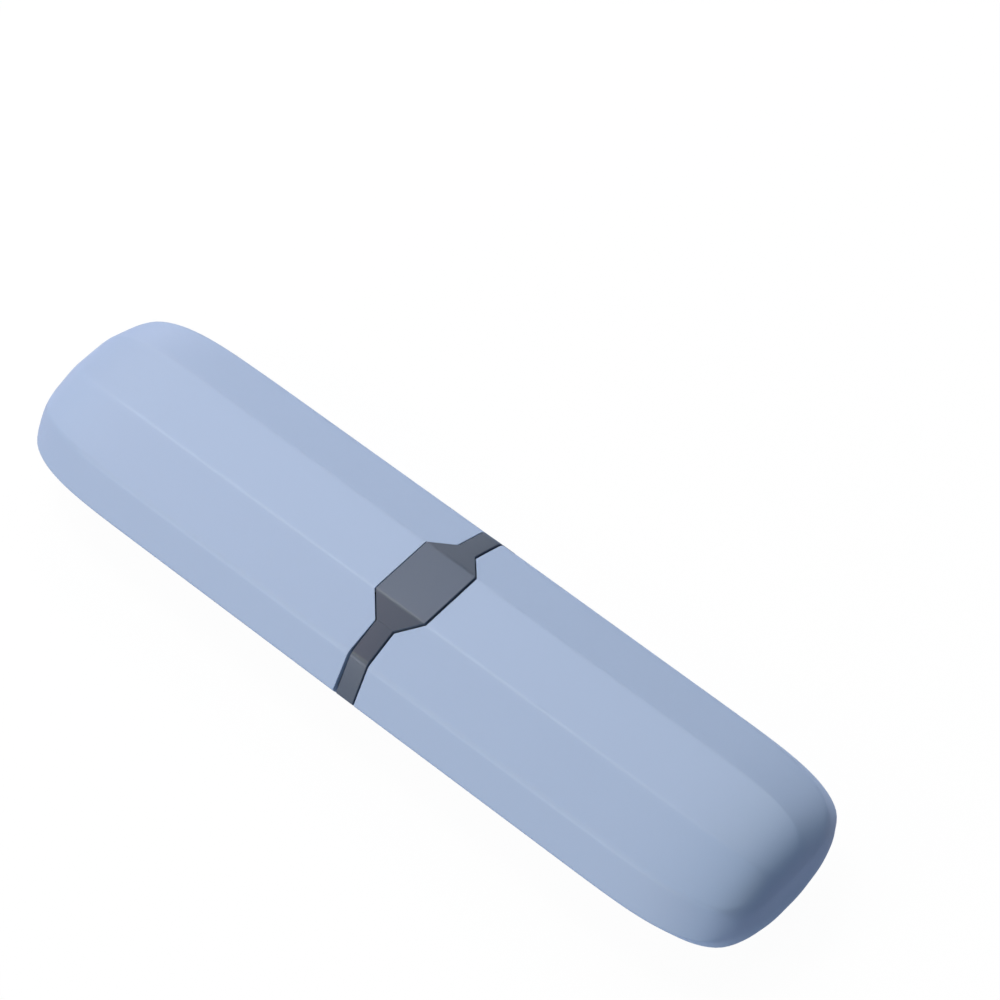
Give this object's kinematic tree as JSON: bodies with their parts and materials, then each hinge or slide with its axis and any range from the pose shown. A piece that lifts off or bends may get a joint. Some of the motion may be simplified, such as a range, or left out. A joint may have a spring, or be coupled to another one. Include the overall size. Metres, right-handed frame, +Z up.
{
  "type": "toothbrush case",
  "caption": "Slim ten-sided travel case for toothbrushes: a lid and a base half meet at a central band whose hexagonal push button frees the lid.",
  "frame": {"origin": "on the surface that the case lies on, under the middle of its bounding box", "axes": "+X along the case towards the end of the base half, +Y across it towards the rear, +Z up through the hexagonal button"},
  "size_m": [0.215, 0.0554, 0.0315],
  "materials": {
    "shell_blue": "fine soft-touch matte",
    "band_grey": "satin",
    "inner_grey": "satin",
    "rack_white": "satin",
    "latch_polymer": "natural acetal",
    "soft_grey": "matte silicone",
    "spring_steel": "drawn wire",
    "screw_steel": "bright"
  },
  "bodies": {
    "base": {"base_shell": "shell_blue", "centre_collar": "band_grey", "seal_ring": "soft_grey", "latch_cover": "inner_grey", "latch_cover_screws": "screw_steel", "handle_rack": "rack_white", "handle_grip_front": "soft_grey", "handle_grip_rear": "soft_grey", "base_end_pad": "soft_grey", "button_spring_front": "spring_steel", "button_spring_rear": "spring_steel"},
    "button": {"release_button": "band_grey", "button_washers": "screw_steel", "button_screws": "screw_steel"},
    "lid": {"lid_shell": "shell_blue", "lid_rim": "inner_grey", "latch_finger": "latch_polymer", "latch_finger_screws": "screw_steel", "head_rack": "rack_white", "lid_end_pad": "soft_grey"}
  },
  "joints": [
    {"name": "lid_pull", "type": "slide", "parent": "base", "child": "lid", "axis": [-1, 0, 0], "range_m": [0, 0.11], "deforming": ["latch_finger"]},
    {"name": "button_press", "type": "slide", "parent": "base", "child": "button", "axis": [0, 0, -1], "range_m": [0, 0.0015], "stiffness_N_per_m": 600, "springref_m": -0.0015, "deforming": ["button_spring_front", "button_spring_rear"]}
  ]
}
